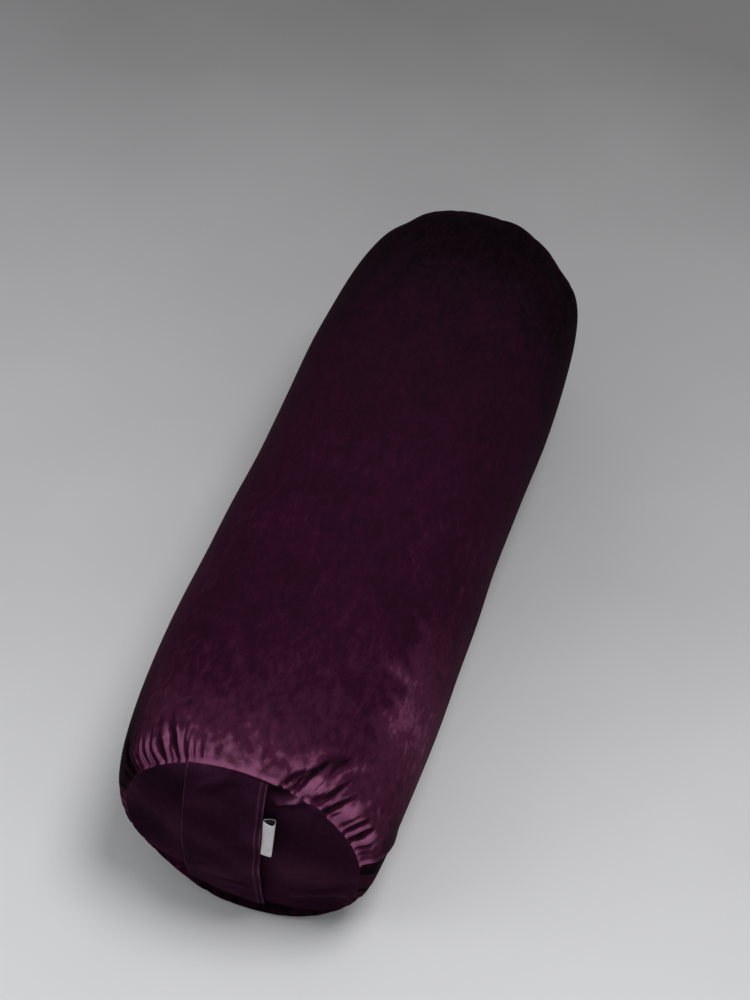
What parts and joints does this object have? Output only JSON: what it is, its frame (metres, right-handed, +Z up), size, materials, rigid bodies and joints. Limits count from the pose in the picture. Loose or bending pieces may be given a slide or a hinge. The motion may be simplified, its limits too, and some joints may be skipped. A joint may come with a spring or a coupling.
{
  "type": "yoga bolster",
  "caption": "Round stuffed yoga bolster with a gathered velvet cover, crowned end panels, a carry band, a folded ribbon and a concealed zip.",
  "frame": {"origin": "on the floor, under the middle of the bolster, at the centre of the flat that its weight presses", "axes": "+Y along the bolster from the carry-band end to the far end, +Z up, +X towards the zip side"},
  "size_m": [0.2316, 0.6849, 0.22],
  "materials": {
    "velvet": "crushed velvet, aubergine, soft sheen",
    "panel_velvet": "the same velvet across the ends and the carry band, darker by its nap",
    "ribbon": "woven satin ribbon, pale grey, bare",
    "zip_tape": "woven polyester tape",
    "zip_coil": "nylon coil",
    "zip_metal": "painted die-cast zinc",
    "bag_cotton": "unbleached cotton",
    "filling": "loose stuffing"
  },
  "bodies": {
    "root": {"cover_sleeve": "velvet", "near_end_panel": "panel_velvet", "far_end_panel": "panel_velvet", "carry_handle": "panel_velvet", "zip_tape_upper": "zip_tape", "zip_tape_lower": "zip_tape", "zip_coil_upper": "zip_coil", "zip_coil_lower": "zip_coil", "zip_top_stop_upper": "zip_metal", "zip_top_stop_lower": "zip_metal", "zip_bottom_stop": "zip_metal", "inner_bag_sleeve": "bag_cotton", "inner_bag_near_end": "bag_cotton", "inner_bag_far_end": "bag_cotton", "filling": "filling"},
    "slider": {"zip_slider": "zip_metal"},
    "pull": {"zip_pull": "zip_metal"},
    "label": {"side_label": "ribbon"}
  },
  "joints": [
    {"name": "zip_slide", "type": "slide", "parent": "root", "child": "slider", "axis": [0, -1, 0], "range_m": [0, 0.4456], "deforming": ["zip_coil_upper", "zip_coil_lower"]},
    {"name": "pull_swing", "type": "hinge", "parent": "slider", "child": "pull", "pos_m": [0.09868, 0.2228, 0.03442], "axis": [0.5808, 0, 0.814], "range_deg": [0, 180]},
    {"name": "label_swing", "type": "hinge", "parent": "root", "child": "label", "pos_m": [0.0265, -0.34108, 0.13062], "axis": [0.0563, 0.1372, 0.989], "range_deg": [-60, 20]}
  ]
}
